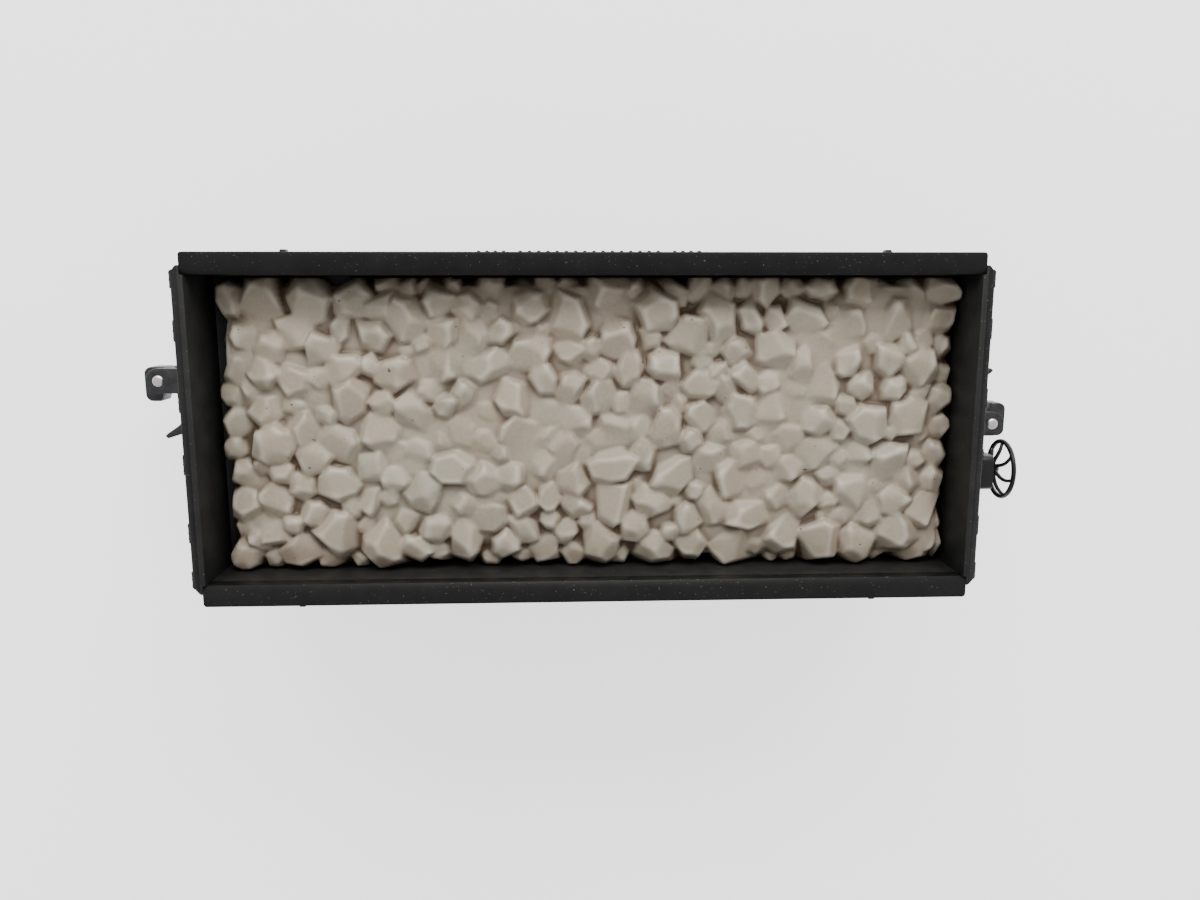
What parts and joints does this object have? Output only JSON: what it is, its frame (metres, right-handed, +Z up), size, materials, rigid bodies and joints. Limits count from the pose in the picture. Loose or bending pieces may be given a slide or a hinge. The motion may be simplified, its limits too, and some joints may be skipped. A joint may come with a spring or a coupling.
{
  "type": "ore wagon",
  "caption": "Model open-top ore wagon with swivelling trucks, knuckle couplers, a handbrake wheel and a lift-out load of ore.",
  "frame": {"origin": "on the surface under the wheel flanges, below the middle of the wagon", "axes": "+X along the wagon towards the handbrake end, +Y across, +Z up"},
  "size_m": [0.189, 0.0624, 0.064],
  "materials": {
    "body_plastic": "satin black moulded plastic",
    "rim_plastic": "satin black moulded plastic, worn edges",
    "underframe_plastic": "matt black",
    "fittings_plastic": "satin black",
    "truck_metal": "blackened die-cast metal",
    "spring_metal": "blackened spring wire",
    "coupler_metal": "blackened die-cast metal",
    "rivet_metal": "bright rivet head",
    "plunger_metal": "blackened steel",
    "screw": "blackened screw",
    "wheel": "blackened wheel, bright tread",
    "axle": "plain steel",
    "ore": "moulded resin ore, slightly waxy"
  },
  "bodies": {
    "wagon_body": {"air_reservoir": "underframe_plastic", "body_bolster_front": "underframe_plastic", "body_bolster_rear": "underframe_plastic", "brake_cylinder": "underframe_plastic", "brake_stand": "fittings_plastic", "center_sill_front": "underframe_plastic", "center_sill_rear": "underframe_plastic", "end_chord_front": "rim_plastic", "end_chord_rear": "rim_plastic", "end_deck_front": "underframe_plastic", "end_deck_rear": "underframe_plastic", "end_posts_front": "rim_plastic", "end_posts_rear": "rim_plastic", "end_sill_front": "underframe_plastic", "end_sill_rear": "underframe_plastic", "end_wall_front": "body_plastic", "end_wall_rear": "body_plastic", "grab_irons": "fittings_plastic", "hopper_doors": "body_plastic", "hopper_side_left": "body_plastic", "hopper_side_right": "body_plastic", "hopper_throat": "body_plastic", "kingpins": "screw", "rim_rivets": "rim_plastic", "side_chord_left": "rim_plastic", "side_chord_right": "rim_plastic", "side_posts": "body_plastic", "side_sheet_left": "body_plastic", "side_sheet_right": "body_plastic", "side_sill_left": "underframe_plastic", "side_sill_right": "underframe_plastic", "sill_steps": "fittings_plastic", "slope_sheet_front": "body_plastic", "slope_sheet_rear": "body_plastic"},
    "truck_front": {"truck_frames_front": "truck_metal", "truck_bolster_front": "truck_metal", "truck_springs_front": "spring_metal", "coupler_shank_front": "coupler_metal", "coupler_head_front": "coupler_metal", "coupler_rivet_front": "rivet_metal"},
    "wheelset_front_outer": {"axle_front_outer": "axle", "wheels_front_outer": "wheel"},
    "wheelset_front_inner": {"axle_front_inner": "axle", "wheels_front_inner": "wheel"},
    "knuckle_front": {"knuckle_front": "coupler_metal"},
    "plunger_front": {"plunger_front": "plunger_metal"},
    "truck_rear": {"truck_frames_rear": "truck_metal", "truck_bolster_rear": "truck_metal", "truck_springs_rear": "spring_metal", "coupler_shank_rear": "coupler_metal", "coupler_head_rear": "coupler_metal", "coupler_rivet_rear": "rivet_metal"},
    "wheelset_rear_outer": {"axle_rear_outer": "axle", "wheels_rear_outer": "wheel"},
    "wheelset_rear_inner": {"axle_rear_inner": "axle", "wheels_rear_inner": "wheel"},
    "knuckle_rear": {"knuckle_rear": "coupler_metal"},
    "plunger_rear": {"plunger_rear": "plunger_metal"},
    "handbrake": {"brake_wheel": "fittings_plastic"},
    "load": {"ore_load": "ore"}
  },
  "joints": [
    {"name": "truck_front_swivel", "type": "hinge", "parent": "wagon_body", "child": "truck_front", "pos_m": [0.046, 0, 0.0223], "axis": [0, 0, 1], "range_deg": [-10, 10]},
    {"name": "axle_front_outer_spin", "type": "hinge", "parent": "truck_front", "child": "wheelset_front_outer", "pos_m": [0.0625, 0, 0.0101], "axis": [0, 1, 0], "continuous": true},
    {"name": "axle_front_inner_spin", "type": "hinge", "parent": "truck_front", "child": "wheelset_front_inner", "pos_m": [0.0295, 0, 0.0101], "axis": [0, 1, 0], "continuous": true},
    {"name": "knuckle_front_open", "type": "hinge", "parent": "truck_front", "child": "knuckle_front", "pos_m": [0.091, -0.0052, 0.0176], "axis": [0, 0, -1], "range_deg": [0, 40]},
    {"name": "plunger_front_pull", "type": "slide", "parent": "truck_front", "child": "plunger_front", "axis": [0, 0, -1], "range_m": [0, 0.0012], "stiffness_N_per_m": 200, "springref_m": -0.0005},
    {"name": "truck_rear_swivel", "type": "hinge", "parent": "wagon_body", "child": "truck_rear", "pos_m": [-0.046, 0, 0.0223], "axis": [0, 0, 1], "range_deg": [-10, 10]},
    {"name": "axle_rear_outer_spin", "type": "hinge", "parent": "truck_rear", "child": "wheelset_rear_outer", "pos_m": [-0.0625, 0, 0.0101], "axis": [0, 1, 0], "continuous": true},
    {"name": "axle_rear_inner_spin", "type": "hinge", "parent": "truck_rear", "child": "wheelset_rear_inner", "pos_m": [-0.0295, 0, 0.0101], "axis": [0, 1, 0], "continuous": true},
    {"name": "knuckle_rear_open", "type": "hinge", "parent": "truck_rear", "child": "knuckle_rear", "pos_m": [-0.091, 0.0052, 0.0176], "axis": [0, 0, -1], "range_deg": [0, 40]},
    {"name": "plunger_rear_pull", "type": "slide", "parent": "truck_rear", "child": "plunger_rear", "axis": [0, 0, -1], "range_m": [0, 0.0012], "stiffness_N_per_m": 200, "springref_m": -0.0005},
    {"name": "handbrake_spin", "type": "hinge", "parent": "wagon_body", "child": "handbrake", "pos_m": [0.0766, -0.0098, 0.05], "axis": [1, 0, 0], "continuous": true},
    {"name": "load_lift", "type": "slide", "parent": "wagon_body", "child": "load", "axis": [0, 0, 1], "range_m": [0, 0.05]}
  ]
}
